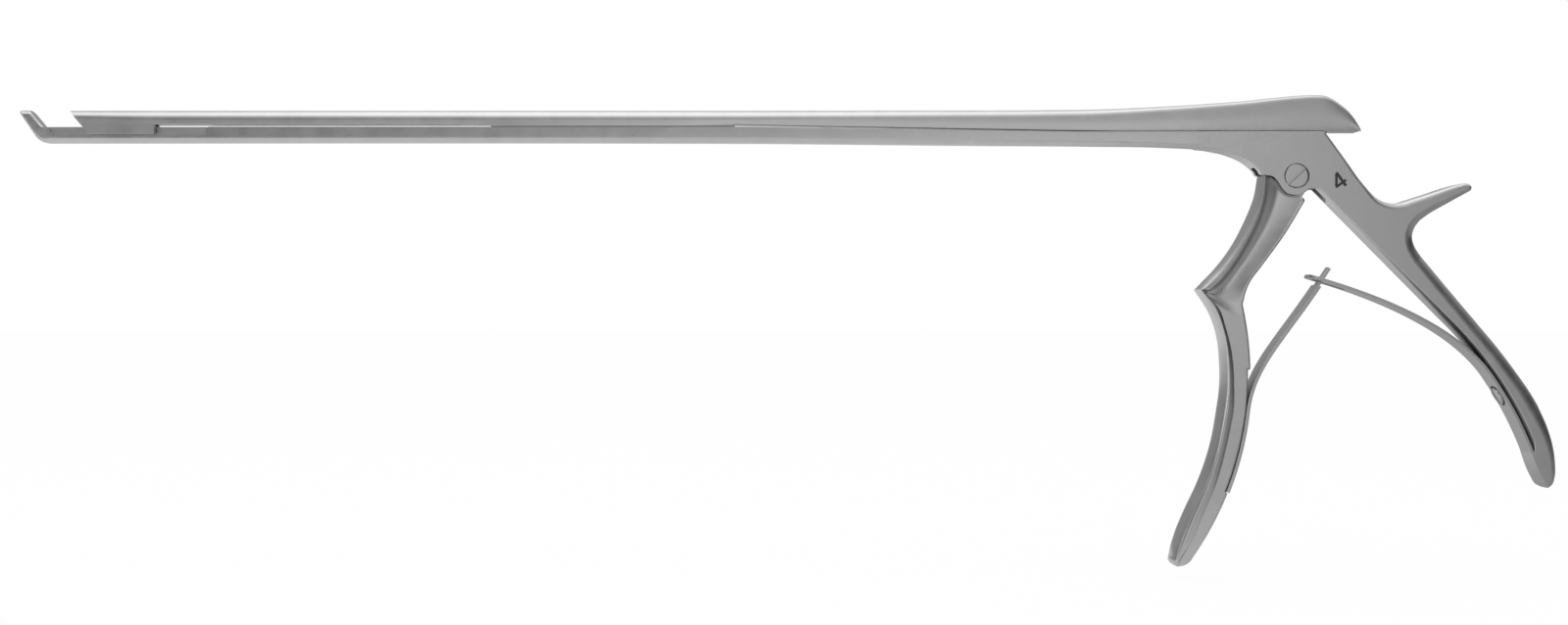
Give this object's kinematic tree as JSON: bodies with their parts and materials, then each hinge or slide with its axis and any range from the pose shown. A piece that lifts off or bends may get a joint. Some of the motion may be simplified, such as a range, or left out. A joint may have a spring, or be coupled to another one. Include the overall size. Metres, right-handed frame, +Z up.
{
  "type": "bone rongeur",
  "caption": "Up-cutting bone rongeur: squeezing the sprung front lever slides the upper shaft onto the turned-up footplate.",
  "frame": {"origin": "the palm saddle, the hollow under the rear handle's spur, on the instrument's mid-plane", "axes": "+X from the jaw back to the handles along the shaft, +Y across the thickness to the side without the pivot screw's head, +Z up"},
  "size_m": [0.3466, 0.008, 0.1068],
  "materials": {
    "satin_steel": "fine satin",
    "spring_steel": "satin",
    "screw_steel": "satin"
  },
  "bodies": {
    "frame": {"frame": "satin_steel", "pivot_screw": "screw_steel", "rear_leaf_spring": "spring_steel", "rear_spring_screw": "screw_steel"},
    "lever": {"front_lever": "satin_steel", "front_leaf_spring": "spring_steel", "front_spring_screw": "screw_steel"},
    "slider": {"slider": "satin_steel"}
  },
  "joints": [
    {"name": "lever_hinge", "type": "hinge", "parent": "frame", "child": "lever", "pos_m": [-0.0262, 0, 0.0136], "axis": [0, -1, 0], "range_deg": [0, 33.4], "stiffness_Nm_per_rad": 1.2, "springref_deg": -20.05, "deforming": ["rear_leaf_spring", "front_leaf_spring"]},
    {"name": "slider_slide", "type": "slide", "parent": "frame", "child": "slider", "axis": [-1, 0, 0], "range_m": [0, 0.0088]}
  ],
  "couplings": [
    {"joint": "slider_slide", "follows": "lever_hinge", "m_per_rad": 0.01509}
  ]
}
